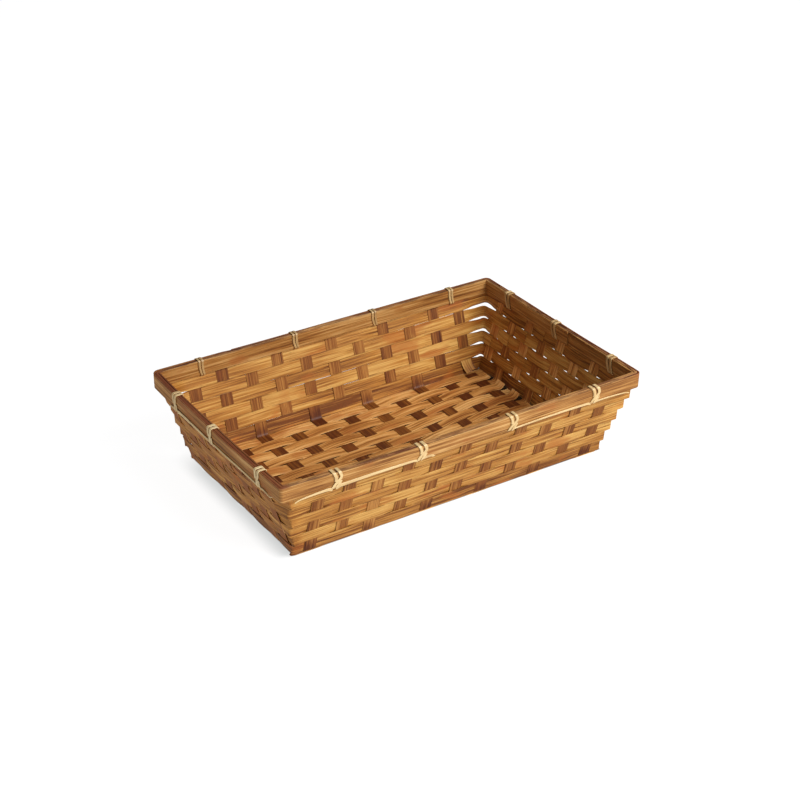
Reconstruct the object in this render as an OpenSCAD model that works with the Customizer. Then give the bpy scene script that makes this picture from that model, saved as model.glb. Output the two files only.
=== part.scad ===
// Woven bread basket: a rectangular tray of flat bamboo splints in plain weave.
// Cross stakes run under the whole basket and up both long walls. Every other base row
// turns up into the short walls, and the rows between are cut off at the ends of the base.
// Six weavers go round the walls, and two rim bands lashed with cane hold the stake tips.
// The origin is the centre of the resting face: +X along the length, +Y to the back, +Z up.

/* [Overall size] */
// Length over the rim
rim_l = 350; // [310:1:430]
// Width over the rim
rim_w = 225; // [185:1:280]
// Height from the resting face to the top of the rim bands
basket_h = 83; // [66:1:105]
// Length of the base, between the bends of the short walls
base_l = 304; // [250:1:370]
// Width of the base, between the bends of the long walls
base_w = 178; // [146:1:216]

/* [Splints] */
// Thickness of a splint
splint_t = 0.6; // [0.5:0.05:0.9]
// Clearance between two splints where they cross
cross_gap = 0.1; // [0.1:0.05:0.3]
// Width of a cross stake
cross_stake_w = 11.5; // [8:0.5:15]
// Gap between two base rows
row_gap = 0.4; // [0.2:0.1:1.5]
// Gap between two weavers, up the wall
weaver_gap = 0.4; // [0.3:0.1:2]

/* [Weave] */
// Number of cross stakes
cross_stakes = 11; // [7:2:13]
// Number of base rows
base_rows = 15; // [11:4:19]
// Number of weavers up the walls
weavers = 6; // [4:2:8]
// Gap between the outer cross stakes and the bends of the short walls
end_gap = 8.5; // [7:0.5:14]
// Gap between the outer base rows and the bends of the long walls
side_gap = 2.2; // [2:0.1:5]
// Height of the lowest weaver's bottom edge over the upper faces of the base's cross stakes
weaver_rise = 1.1; // [1.1:0.1:3.6]
// Radius of the bend at the edges of the base
base_bend_r = 2.5; // [2:0.1:3]
// Radius of a weaver's bend at a corner of the basket
weaver_corner_r = 4; // [3:0.5:5]
// Share of the wall's lean that a weaver keeps where it turns a corner
corner_lean = 0.15; // [0:0.05:0.6]
// Distance over which a weaver stands up towards a corner
stand_up = 12; // [6:1:16]
// How far a cut base row runs past the outer cross stake
row_end = 5; // [3:0.5:6]
// How far the cut end of a base row lifts
row_end_lift = 2; // [0.5:0.5:3]

/* [Rim] */
// Height of the rim bands
band_h = 14; // [10:0.5:18]
// Thickness of a rim band
band_t = 1.5; // [1:0.1:2]
// Space between the bands, for the tips of the stakes
tip_space = 3; // [2.4:0.1:4]
// Outside radius of the rim's corners
rim_corner_r = 5; // [5:0.5:14]
// Height of the filler splint between the bands
filler_h = 3; // [2:0.5:5]
// Clearance round the filler splint and over the stake tips
filler_gap = 0.2; // [0.1:0.05:0.4]

/* [Cane] */
// Width of the binding cane
cane_w = 3; // [2:0.1:3.6]
// Thickness of the binding cane
cane_t = 0.8; // [0.5:0.1:1]
// Clearance between the cane and what it binds
cane_gap = 0.25; // [0.2:0.05:0.4]
// Gap between the two turns of a tie
turn_gap = 2.2; // [0.4:0.1:2.6]
// Slant of a tie
tie_slant = 4; // [0:1:6]
// Ties on each long side
long_ties = 4; // [3:1:5]
// Ties on each short side
short_ties = 3; // [2:1:4]
// Height of the running cane above the lower edge of the outer band
run_rise = 1.2; // [0.4:0.1:4]

/* [Hidden] */
FRONT = 0;
RIGHT = 1;
BACK = 2;
LEFT = 3;
WALL_NAMES = ["front", "right", "back", "left"];
long_stakes = (base_rows + 1) / 2;

// Splints that cross are this far apart, middle to middle.
crimp = splint_t + cross_gap;
base_z = crimp + splint_t / 2;
row_low_z = splint_t / 2;
crest = cross_stake_w / 2 + 0.4;
wave_steps = 4;
bend_steps = 5;
corner_steps = 6;
corner_room = 0.3;
corner_slit = 0.25;
crease_r = 0.3;

// Pitches, and the widths that fill the walls and the base between the named gaps.
cross_pitch = (base_l - 2 * end_gap - cross_stake_w) / (cross_stakes - 1);
row_w = (base_w - 2 * side_gap - (base_rows - 1) * row_gap) / base_rows;
row_pitch = row_w + row_gap;
long_stake_pitch = 2 * row_pitch;

// The rim stands upright over the leaning walls.
rim_t = 2 * band_t + tip_space;
band_z = basket_h - band_h;
rim_x = (rim_l - rim_t) / 2;
rim_y = (rim_w - rim_t) / 2;
tip_z = basket_h - filler_h - filler_gap;
rim_bend_r = 8;
lean_x = atan((rim_x - base_l / 2) / (band_z - row_low_z));
lean_y = atan((rim_y - base_w / 2) / (band_z - base_z));

// The slot under the rim bands lets a tie pass between the band and the top weaver.
rim_slot = cane_t + 2 * cane_gap + cane_w * sin(tie_slant);
lean_min = min(lean_x, lean_y);
lean_max = max(lean_x, lean_y);
weaver_low = base_z + splint_t / 2 + weaver_rise;
weaver_pitch = (band_z - rim_slot - weaver_low + weaver_gap) / weavers;
upright_w = weaver_pitch - corner_slit - splint_t * sin(corner_lean * lean_max);
weaver_w = min((weaver_pitch - weaver_gap) / cos(lean_min), upright_w);
weaver_foot = (weaver_pitch - weaver_gap) / 2;

// The last cross stake is cut at the back, and a spliced stake takes its place there.
spliced_stake = cross_stakes;
splice_foot = weaver_low + 0.8;
stake_end = row_w + side_gap;

cane_long_out = rim_y + rim_t / 2 + cane_gap;
cane_short_out = rim_x + rim_t / 2 + cane_gap;
tie_half = cane_w + turn_gap / 2 + band_h * sin(tie_slant) / 2;

cross_nodes = [for (i = [1:cross_stakes]) str("cross_stake_", i)];
long_nodes = [for (j = [1:long_stakes]) str("long_stake_", j)];
row_nodes = [for (n = [1:long_stakes - 1]) str("base_row_", n)];
weaver_nodes = [for (k = [1:weavers]) str("weaver_", k)];
tie_nodes = [for (w = [FRONT:LEFT]) for (n = [1:tie_count(w)]) tie_name(w, n)];
run_nodes = [for (w = [FRONT:LEFT]) str("cane_run_", WALL_NAMES[w])];

// ---- Places of the splints ----

function mix(a, b, t) = a + (b - a) * t;
function ease(t) = (1 - cos(180 * min(1, max(0, t)))) / 2;
function is_even(n) = n % 2 == 0;
function is_long(w) = w == FRONT || w == BACK;
function stake_x(i) = (i - (cross_stakes + 1) / 2) * cross_pitch;
function row_y(r) = ((base_rows + 1) / 2 - r) * row_pitch;

// Middle of a long wall and of a short wall at height z.
function wall_y(z) = mix(base_w / 2, rim_y, (z - base_z) / (band_z - base_z));
function wall_x(z) = mix(base_l / 2, rim_x, (z - row_low_z) / (band_z - row_low_z));
function weaver_z(k) = weaver_low + weaver_foot + (k - 1) * weaver_pitch;

// Walls are numbered in the weavers' direction of travel: front, right, back, left.
function wall_out(w, z) = is_long(w) ? wall_y(z) : wall_x(z);
function wall_lean(w) = is_long(w) ? lean_y : lean_x;
function wall_stakes(w) = is_long(w) ? cross_stakes : long_stakes;
function wall_pitch(w) = is_long(w) ? cross_pitch : long_stake_pitch;
function stake_half(w) = is_long(w) ? cross_stake_w / 2 : row_w / 2;
function stakes_before(w) = w == 0 ? 0 : stakes_before(w - 1) + wall_stakes(w - 1);
function stake_s(w, q) = (q - (wall_stakes(w) + 1) / 2) * wall_pitch(w);

// ---- Flat ribbons bent along a path ----

function unit(v) = v / norm(v);

// Arc of radius r that rounds the corner b between a and c.
function turn(a, b, c, r) =
    let (u = unit(b - a), v = unit(c - b))
    let (angle = acos(u * v), side = sign(cross(u, v)))
    let (normal = side * [-u[1], u[0]])
    let (centre = b - u * r * tan(angle / 2) + normal * r)
    [for (n = [0:bend_steps])
        let (a = angle * n / bend_steps)
        centre + r * (u * sin(a) - normal * cos(a))];

function heading(path, i) =
    let (last = len(path) - 1)
    let (before = unit(path[max(i, 1)] - path[max(i, 1) - 1]))
    let (after = unit(path[min(i, last - 1) + 1] - path[min(i, last - 1)]))
    unit(before + after);
function beside(path, i, d) =
    let (u = heading(path, i))
    path[i] + d * [-u[1], u[0]];

// Outline of a ribbon of thickness splint_t along an open path.
function ribbon(path) = concat(
    [for (i = [0:len(path) - 1]) beside(path, i, splint_t / 2)],
    [for (i = [len(path) - 1:-1:0]) beside(path, i, -splint_t / 2)]);

// Straight rise of a stake from the base bend at (x, z) to its tip between the bands.
function rise(x, z, top_x) = concat(
    turn([x - 1, z], [x, z], [top_x, band_z], base_bend_r),
    turn([x, z], [top_x, band_z], [top_x, tip_z], rim_bend_r),
    [[top_x, tip_z]]);
function mirrored(path) = [for (i = [len(path) - 1:-1:0]) [-path[i][0], path[i][1]]];

// Base row r lies over or under cross stake i, and swings between them in half waves.
function row_z(r, i) = base_z + (is_even(i + r) ? -crimp : crimp);
function row_wave(r) = [
    for (i = [1:cross_stakes]) each [
        [stake_x(i) - crest, row_z(r, i)],
        [stake_x(i) + crest, row_z(r, i)],
        if (i < cross_stakes) each [for (n = [1:wave_steps - 1])
            let (t = n / wave_steps)
            [mix(stake_x(i) + crest, stake_x(i + 1) - crest, t),
                mix(row_z(r, i), row_z(r, i + 1), ease(t))]]]];
function row_tip(r) =
    let (x = stake_x(cross_stakes) + crest)
    [for (n = [1:2]) [x + row_end * n / 2, row_z(r, cross_stakes) + row_end_lift * n * n / 4]];

// ---- Weavers ----

// Offset of weaver k from the wall's middle at stake q of wall w, out or in by turns.
function sway(w, q, k) =
    (is_even(stakes_before(w) + q + k) ? -1 : 1) * crimp / cos(wall_lean(w));
// Lean of a weaver at distance d from the last stake that it crossed.
function standing(w, d) = wall_lean(w) * mix(1, corner_lean, ease(d / stand_up));

// Where weaver k would meet the corner after wall w, measured from the middle of each wall.
function last_out(w, k) = wall_out(w, weaver_z(k)) + sway(w, wall_stakes(w), k);
function first_out(w, k) = wall_out(w, weaver_z(k)) + sway(w, 1, k);
function stakes_edge(w) = stake_s(w, wall_stakes(w)) + stake_half(w);
// The bend at the corner after wall w is as round as the stakes beside it leave room for.
function corner_r(w, k) =
    let (after = (w + 1) % 4)
    min(weaver_corner_r,
        first_out(after, k) - stakes_edge(w) - corner_room,
        last_out(w, k) - stakes_edge(after) - corner_room);

// Stations along wall w as [along, out, lean], in the wall's own directions.
function along_wall(w, k) =
    let (last = wall_stakes(w), middle = wall_out(w, weaver_z(k)))
    let (before = (w + 3) % 4, after = (w + 1) % 4)
    let (start = corner_r(before, k) - last_out(before, k))
    let (end = first_out(after, k) - corner_r(w, k))
    let (head = -stakes_edge(w), tail = stakes_edge(w))
    concat(
        [for (t = [1 / 3, 2 / 3])
            let (s = mix(start, head, t))
            [s, first_out(w, k), standing(w, head - s)]],
        [for (q = [1:last]) each [
            [stake_s(w, q) - stake_half(w), middle + sway(w, q, k), wall_lean(w)],
            [stake_s(w, q) + stake_half(w), middle + sway(w, q, k), wall_lean(w)],
            if (q < last) each [for (n = [1:wave_steps - 1])
                let (t = n / wave_steps)
                [mix(stake_s(w, q) + stake_half(w), stake_s(w, q + 1) - stake_half(w), t),
                    middle + mix(sway(w, q, k), sway(w, q + 1, k), ease(t)),
                    wall_lean(w)]]]],
        [for (t = [1 / 3, 2 / 3])
            let (s = mix(tail, end, t))
            [s, last_out(w, k), standing(w, s - tail)]],
        corner_after(w, k));

// Stations round the corner after wall w, where the weaver stands almost upright.
function corner_after(w, k) =
    let (after = (w + 1) % 4, r = corner_r(w, k))
    let (along = first_out(after, k) - r, out = last_out(w, k) - r)
    let (tail = along - stakes_edge(w), head = out - stakes_edge(after))
    [for (n = [0:corner_steps])
        let (t = n / corner_steps, quarter = r * PI / 2)
        let (lean_here = standing(w, tail + quarter * t))
        let (lean_next = standing(after, head + quarter * (1 - t)))
        [along + r * sin(90 * t), out + r * cos(90 * t), mix(lean_here, lean_next, t)]];

function to_plan(w, s) =
    [s[0] * cos(90 * w) + s[1] * sin(90 * w), s[0] * sin(90 * w) - s[1] * cos(90 * w), s[2]];
function weaver_stations(k) =
    [for (w = [FRONT:LEFT]) each [for (s = along_wall(w, k)) to_plan(w, s)]];

// The four corners of a weaver's section at station i of a closed list.
function weaver_section(path, i, z) =
    let (n = len(path), here = path[i])
    let (before = path[(i + n - 1) % n], after = path[(i + 1) % n])
    let (back = unit([here[0] - before[0], here[1] - before[1]]))
    let (ahead = unit([after[0] - here[0], after[1] - here[1]]))
    let (u = unit(back + ahead), lean = here[2])
    let (up = [u[1] * sin(lean), -u[0] * sin(lean), cos(lean)] * weaver_w / 2)
    let (out = [u[1] * cos(lean), -u[0] * cos(lean), -sin(lean)] * splint_t / 2)
    let (centre = [here[0], here[1], z])
    [centre - up + out, centre + up + out, centre + up - out, centre - up - out];

module weaver(k) {
    path = weaver_stations(k);
    n = len(path);
    points = [for (i = [0:n - 1]) each weaver_section(path, i, weaver_z(k))];
    faces = [for (i = [0:n - 1]) for (e = [0:3])
        let (a = 4 * i, b = 4 * ((i + 1) % n), f = (e + 1) % 4)
        each [[a + e, a + f, b + f], [a + e, b + f, b + e]]];
    color("peru") polyhedron(points, faces);
}

// ---- Stakes and base rows ----

module ribbon_across_x(path, width) {
    rotate([90, 0, 90]) linear_extrude(width, center = true) polygon(ribbon(path));
}

module ribbon_across_y(path, width) {
    rotate([90, 0, 0]) linear_extrude(width, center = true) polygon(ribbon(path));
}

module cross_stake(i) {
    up = rise(base_w / 2, base_z, rim_y);
    back_half = i == spliced_stake ? [[base_w / 2 - side_gap, base_z]] : up;
    color("sienna") translate([stake_x(i), 0, 0])
        ribbon_across_x(concat(mirrored(up), back_half), cross_stake_w);
}

module back_splice_stake() {
    path = concat([[wall_y(splice_foot), splice_foot]],
        turn([base_w / 2, base_z], [rim_y, band_z], [rim_y, tip_z], rim_bend_r),
        [[rim_y, tip_z]]);
    color("burlywood") translate([stake_x(spliced_stake), 0, 0])
        ribbon_across_x(path, cross_stake_w);
}

module long_stake(j) {
    r = 2 * j - 1;
    up = rise(base_l / 2, row_low_z, rim_x);
    color("chocolate") translate([0, row_y(r), 0])
        ribbon_across_y(concat(mirrored(up), row_wave(r), up), row_w);
}

module base_row(n) {
    r = 2 * n;
    color("sandybrown") translate([0, row_y(r), 0])
        ribbon_across_y(concat(mirrored(row_tip(r)), row_wave(r), row_tip(r)), row_w);
}

// ---- Rim ----

module rounded_plate(l, w, r) {
    square([l, w - 2 * r], center = true);
    square([l - 2 * r, w], center = true);
    for (x = [-1, 1]) for (y = [-1, 1])
        translate([x * (l / 2 - r), y * (w / 2 - r)]) circle(r, $fn = 48);
}

function corner_at(inset) = max(rim_corner_r - inset, crease_r);

// Hoop of thickness t whose outside lies inset from the outside of the rim.
module rim_hoop(inset, t, h) {
    linear_extrude(h) difference() {
        rounded_plate(rim_l - 2 * inset, rim_w - 2 * inset, corner_at(inset));
        rounded_plate(rim_l - 2 * (inset + t), rim_w - 2 * (inset + t), corner_at(inset + t));
    }
}

module rim_outer_band() {
    color("tan") translate([0, 0, band_z]) rim_hoop(0, band_t, band_h);
}

module rim_inner_band() {
    color("tan") translate([0, 0, band_z]) rim_hoop(band_t + tip_space, band_t, band_h);
}

module rim_filler() {
    color("saddlebrown") translate([0, 0, basket_h - filler_h])
        rim_hoop(band_t + filler_gap, tip_space - 2 * filler_gap, filler_h);
}

// ---- Cane ----

function tie_count(w) = is_long(w) ? long_ties : short_ties;
function tie_name(w, n) = str("tie_", WALL_NAMES[w], "_", n);
function rim_out(w) = is_long(w) ? rim_y : rim_x;
function cane_out(w) = is_long(w) ? cane_long_out : cane_short_out;
// A tie goes through midway between two stakes, so this is a gap between stakes.
function tie_gap(w, n) = 1 + round((n - 1) * (wall_stakes(w) - 2) / (tie_count(w) - 1));
function tie_s(w, n) = stake_s(w, tie_gap(w, n)) + wall_pitch(w) / 2;

module tie_ring() {
    l = rim_t + 2 * cane_gap;
    h = band_h + 2 * cane_gap;
    rotate([90, 0, 90]) linear_extrude(cane_w, center = true) difference() {
        rounded_plate(l + 2 * cane_t, h + 2 * cane_t, cane_gap + cane_t);
        rounded_plate(l, h, cane_gap);
    }
}

// Two turns of cane round both bands at tie n of wall w.
module rim_tie(w, n) {
    color("wheat") rotate([0, 0, 90 * w])
        translate([tie_s(w, n), -rim_out(w), band_z + band_h / 2])
        for (side = [-1, 1]) translate([side * (cane_w + turn_gap) / 2, 0, 0])
            rotate([0, tie_slant, 0]) tie_ring();
}

function corner_s(w) = (is_long(w) ? rim_l : rim_w) / 2 - rim_corner_r;
function run_start(w, n) = n == 0 ? -corner_s(w) : tie_s(w, n) + tie_half + cane_gap;
function run_end(w, n) = n == tie_count(w) ? corner_s(w) : tie_s(w, n + 1) - tie_half - cane_gap;

// Cane that runs along the outer band of wall w, from corner to corner between the ties.
module cane_run(w) {
    color("wheat") rotate([0, 0, 90 * w]) for (n = [0:tie_count(w)])
        translate([run_start(w, n), -cane_out(w) - cane_t, band_z + run_rise])
            cube([run_end(w, n) - run_start(w, n), cane_t, cane_w]);
}

for (i = [1:cross_stakes]) cross_stake(i);
back_splice_stake();
for (j = [1:long_stakes]) long_stake(j);
for (n = [1:long_stakes - 1]) base_row(n);
for (k = [1:weavers]) weaver(k);
rim_outer_band();
rim_inner_band();
rim_filler();
for (w = [FRONT:LEFT]) for (n = [1:tie_count(w)])
    rim_tie(w, n);
for (w = [FRONT:LEFT]) cane_run(w);
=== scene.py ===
# %% [markdown]
# # A woven bread basket
# The real basket is a tray of flat bamboo splints in plain weave. Cross stakes and rows make
# the base and turn up into the walls, six weavers go round the walls, and two rim bands lashed
# with cane hold the tips. Every splint here is one surface: a flat section carried along the
# line that the splint takes through the weave, so that the bumps, gaps and shadows of a weave
# come from real overlaps. A displaced sheet would be quicker to make, but it has no undersides,
# no slits of light between splints and no cut ends.

import bpy
import numpy as np
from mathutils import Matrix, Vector


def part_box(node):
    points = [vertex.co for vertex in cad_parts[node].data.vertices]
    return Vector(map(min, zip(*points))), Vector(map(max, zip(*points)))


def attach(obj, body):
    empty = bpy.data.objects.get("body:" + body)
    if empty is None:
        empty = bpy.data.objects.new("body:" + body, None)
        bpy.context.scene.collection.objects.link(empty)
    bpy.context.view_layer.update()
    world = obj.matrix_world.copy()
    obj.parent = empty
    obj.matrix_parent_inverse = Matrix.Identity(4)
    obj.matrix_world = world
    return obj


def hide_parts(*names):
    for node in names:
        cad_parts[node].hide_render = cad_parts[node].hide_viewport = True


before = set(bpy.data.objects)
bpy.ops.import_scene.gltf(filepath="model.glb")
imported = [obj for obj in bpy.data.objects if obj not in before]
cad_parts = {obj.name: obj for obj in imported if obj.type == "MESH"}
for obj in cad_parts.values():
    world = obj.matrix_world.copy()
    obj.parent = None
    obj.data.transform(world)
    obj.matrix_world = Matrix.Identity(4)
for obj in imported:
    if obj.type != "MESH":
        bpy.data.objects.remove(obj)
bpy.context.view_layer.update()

# %% [markdown]
# ## Measures of the weave
# Everything that the frame knows is read from the boxes of its nodes: where each stake, row,
# weaver and band lies. The few sizes that a box doesn't show, such as the thickness of a
# splint, are named here once.

# %% Sizes of the stock
MM = 0.001
SPLINT = 0.6 * MM
CRIMP = 0.7 * MM
BAND = 1.5 * MM
CANE_W, CANE_T = 2.8 * MM, 0.8 * MM
STEP = 1.6 * MM
print("thicknesses in mm: splint", SPLINT / MM, "band", BAND / MM, "cane", CANE_T / MM)


# %% Places read from the frame
def box(node):
    """Lowest and highest corner of a CAD node."""
    low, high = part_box(node)
    return np.array(low), np.array(high)


def middle(node):
    """Centre of a CAD node's box."""
    return sum(box(node)) / 2


def size(node):
    """Sides of a CAD node's box."""
    low, high = box(node)
    return high - low


STAKES = [f"cross_stake_{i}" for i in range(1, 12)]
ROWS = [f"base_row_{r // 2}" if r % 2 == 0 else f"long_stake_{(r + 1) // 2}" for r in range(1, 16)]
WEAVERS = [f"weaver_{k}" for k in range(1, 7)]
stake_x = np.array([middle(n)[0] for n in STAKES])
row_y = np.array([middle(n)[1] for n in ROWS])
weaver_z = np.array([middle(n)[2] for n in WEAVERS])
stake_w, row_w, weaver_w = size(STAKES[0])[0], size(ROWS[1])[1], size(WEAVERS[0])[2]
row_pitch = row_y[0] - row_y[1]
band_low, band_high = box("rim_outer_band")
inner_low, inner_high = box("rim_inner_band")
band_h, rim_top = band_high[2] - band_low[2], band_high[2]
rim_x = (band_high[0] - BAND + inner_high[0]) / 2
rim_y = (band_high[1] - BAND + inner_high[1]) / 2
tip_z = box("long_stake_1")[1][2]
base_z = CRIMP + SPLINT / 2
low_z = SPLINT / 2
print(f"stakes every {np.diff(stake_x).mean() / MM:.2f} mm, rows every {row_pitch / MM:.2f} mm,",
      f"weavers at {np.round(weaver_z / MM, 1)} mm, rim middle {rim_x / MM:.1f} x {rim_y / MM:.1f} mm")


# %% Lean of the walls
def wall_line(axis):
    """Middle line of a leaning wall, from the lowest and the highest weaver: a weaver's box ends
    where its top edge stands furthest out, which is the wall's middle plus the crimp, the top
    half of the leaning width and half the leaning thickness."""
    low, high = box(WEAVERS[0])[1], box(WEAVERS[-1])[1]
    lean = np.arctan2(high[axis] - low[axis], weaver_z[-1] - weaver_z[0])
    reach = CRIMP / np.cos(lean) + weaver_w / 2 * np.sin(lean) + SPLINT / 2 * np.cos(lean)
    return lean, low[axis] - reach


lean_x, side_x = wall_line(0)
lean_y, side_y = wall_line(1)


def wall_x(z):
    """Distance of a short wall's middle from the centre: straight from its foot to the rim."""
    return side_x + (z - weaver_z[0]) * np.tan(lean_x)


def wall_y(z):
    """Distance of a long wall's middle from the centre: straight from its foot to the rim."""
    return side_y + (z - weaver_z[0]) * np.tan(lean_y)


print(f"lean {np.degrees(lean_x):.1f} and {np.degrees(lean_y):.1f} degrees, base",
      f"{2 * wall_x(low_z) / MM:.1f} x {2 * wall_y(base_z) / MM:.1f} mm")

# %% [markdown]
# ## Unevenness
# Splints are split by hand, so their width, their colour and their course wander a little.
# Smooth random values on a lattice give that: numbers at whole steps, blended between them.


# %% Smooth random values
def unevenness(a, b, seed):
    """Values from -1 to 1 that change smoothly over a and b: random numbers on a square lattice,
    and between them a blend by 3t^2 - 2t^3 in both directions."""
    table = np.random.default_rng(seed).uniform(-1, 1, (97, 97))
    a, b = np.broadcast_arrays(np.asarray(a, float), np.asarray(b, float))
    i, j = np.floor(a).astype(int), np.floor(b).astype(int)
    s, t = a - i, b - j
    s, t = s * s * (3 - 2 * s), t * t * (3 - 2 * t)
    near = table[i % 97, j % 97] * (1 - s) + table[(i + 1) % 97, j % 97] * s
    far = table[i % 97, (j + 1) % 97] * (1 - s) + table[(i + 1) % 97, (j + 1) % 97] * s
    return near * (1 - t) + far * t


def ease(t):
    """0 before 0, 1 after 1, and half a cosine wave between."""
    return (1 - np.cos(np.pi * np.clip(t, 0, 1))) / 2


def mix(a, b, t):
    """a at t = 0, b at t = 1, and a straight line between."""
    return a + (b - a) * t


def unit(v):
    """The same directions with length 1."""
    return v / np.linalg.norm(v, axis=-1, keepdims=True)


print("unevenness runs from", round(float(unevenness(np.arange(99), 0.5, 1).min()), 2),
      "to", round(float(unevenness(np.arange(99), 0.5, 1).max()), 2))


# %% [markdown]
# ## One splint
# A splint is a flat bar with rounded edges. Its section is a ring of points, and each point
# is a share of the half width and half thickness plus a turn round the edge. Carried along a
# line of stations it gives a grid of points: stations by ring. The faces get shallow fibre
# grooves, which only ever go inwards, so a splint never grows into its neighbour.


# %% Ring of a splint's section
def ring(columns):
    """Shares (across, up) of the flat part and unit vectors (across, up) of the rounding, round
    a bar with rounded edges: outer face, one edge, inner face, other edge."""
    face = np.linspace(-1, 1, columns)
    still, turn = np.zeros(columns), np.radians([60, 30, 0])
    parts = [
        (face, still + 1, still, still + 1),
        (turn * 0 + 1, turn * 0 + 1, np.cos(turn), np.sin(turn)),
        (turn * 0 + 1, turn * 0 - 1, np.cos(turn[::-1]), -np.sin(turn[::-1])),
        (face[::-1], still - 1, still, still - 1),
        (turn * 0 - 1, turn * 0 - 1, -np.cos(turn), -np.sin(turn)),
        (turn * 0 - 1, turn * 0 + 1, -np.cos(turn[::-1]), np.sin(turn[::-1])),
    ]
    return np.hstack([np.array(p) for p in parts])


print("section of a wide splint:", ring(18).shape[1], "points")


# %% Splint along a line
def splint(line, across, width, thick, seed, closed=False, columns=18, round_r=0.2 * MM,
           groove=0.05 * MM, crown=0.0, tone=0.0, tone_wave=0.25, stain=0.0):
    """Grid of a flat bar along a line. The frame at each station is the direction of travel, the
    across direction made square to it, and their cross product, which points out of the outer
    face. A point is the station, plus across times half width, plus out times half thickness.
    Returns the grid and what the finish reads: distance along, distance round, tone, edge, and
    stain on the first edge."""
    ahead = np.roll(line, -1, 0) - np.roll(line, 1, 0)
    if not closed:
        ahead[0], ahead[-1] = line[1] - line[0], line[-1] - line[-2]
    ahead = unit(ahead)
    across = unit(across - ahead * np.sum(across * ahead, axis=1, keepdims=True))
    out = np.cross(ahead, across)
    a, b, turn_a, turn_b = ring(columns)
    width = np.broadcast_to(width, len(line))[:, None]
    thick = np.broadcast_to(thick, len(line))[:, None]
    travelled = np.concatenate([[0], np.cumsum(np.linalg.norm(np.diff(line, axis=0), axis=1))])
    side = a * (width / 2 - round_r) + turn_a * round_r
    along = travelled[:, None] / MM
    fibre = unevenness(along / 55, side / MM / 1.1 + 40 * (b < 0), seed)
    strip = unevenness(along / 90, side / MM / 2.7 + 40 * (b < 0), seed + 1)
    sunk = groove * (0.5 + 0.3 * fibre + 0.2 * strip) * (np.abs(b * turn_b) >= 1)
    sunk = sunk + crown * a * a * (b > 0)
    height = b * (thick / 2 - round_r) + turn_b * round_r - np.sign(b) * sunk
    grid = line[:, None] + across[:, None] * side[..., None] + out[:, None] * height[..., None]
    edge = np.clip(1 - (width / 2 - np.abs(side)) / (0.9 * MM), 0, 1)
    shade = tone + tone_wave * unevenness(along / 70, seed % 89, seed + 2) + 0 * side
    stain = np.reshape(stain, (-1, 1)) * np.clip((side - width / 2) / (1.1 * MM) + 1, 0, 1)
    section = np.column_stack([side.mean(0), height.mean(0)])
    round_it = np.linalg.norm(np.roll(section, -1, 0) - section, axis=1)
    total = np.linalg.norm(line[0] - line[-1]) if closed else 0
    return {
        "grid": grid, "closed": closed, "edge": edge, "tone": shade, "stain": stain,
        "along": np.append(travelled, travelled[-1] + total) + 0.37 * seed,
        "round": np.append(0, np.cumsum(round_it)) + 0.013 * (seed % 71),
    }


# %% [markdown]
# ## A basket that has settled
# A real basket is never quite the rectangle that its maker drew. Each piece could be bent by
# itself, but then neighbours would part. It is safer to bend space: one function moves every
# point of every piece, so that pieces that touch go on touching.


# %% Shape of the whole basket
LEFT_BOW, FRONT_BOW, PULLED_OUT = 2.2, 1.5, 1.6


def settled(p):
    """The left and front rims bow outwards as a parabola along the side, the front band is a
    little lower between the corners, and the front right corner is pulled out. Every shift
    grows in proportion to the height."""
    x, y, z = p.T
    high = z / rim_top
    left = np.clip(-x / rim_x, 0, 1) ** 3 * (1 - np.clip(y / rim_y, -1, 1) ** 2) * high
    front = np.clip(-y / rim_y, 0, 1) ** 3 * (1 - np.clip(x / rim_x, -1, 1) ** 2) * high
    pulled = np.exp(-((x - rim_x) ** 2 + (y + rim_y) ** 2) / (70 * MM) ** 2) * high
    lower = np.clip((z - band_low[2]) / band_h, 0, 1.2)
    x = x + (PULLED_OUT * pulled - LEFT_BOW * left) * MM
    y = y - (PULLED_OUT * pulled + FRONT_BOW * front) * MM
    return np.column_stack([x, y, z - (1.5 * front + 0.4) * lower * MM])


# %% [markdown]
# ## Mesh of a piece
# A grid could be made face by face, but a hundred thousand faces are quicker as whole arrays.
# A piece that has several splints, such as the running cane of a wall, is still one mesh.


# %% Faces of one splint
def grid_faces(s):
    """Quads between neighbouring stations and neighbouring ring points, as corner numbers, and
    the place of each corner on the splint's map: distance along, distance round."""
    n, m = s["grid"].shape[:2]
    i = np.arange(n if s["closed"] else n - 1)[:, None]
    j = np.arange(m)[None]
    ii, jj = (i + 1) % n, (j + 1) % m
    quads = np.stack([i * m + j, ii * m + j, ii * m + jj, i * m + jj], -1).reshape(-1, 4)
    u = np.stack(np.broadcast_arrays(s["along"][i], s["along"][i + 1]), -1)
    u = np.broadcast_to(u[:, :, [0, 1, 1, 0]], (len(i), m, 4))
    v = np.stack([s["round"][j], s["round"][j + 1]], -1)
    v = np.broadcast_to(v[:, :, [0, 0, 1, 1]], (len(i), m, 4))
    return quads, np.stack([u, v], -1).reshape(-1, 4, 2)


def volume(points, quads):
    """Signed volume inside the quads, up to a factor: the sum of a . (b x c) over the triangles."""
    p, q, r, t = (points[quads[:, c]] for c in range(4))
    return np.sum(p * np.cross(q, r)) + np.sum(p * np.cross(r, t))


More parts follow.
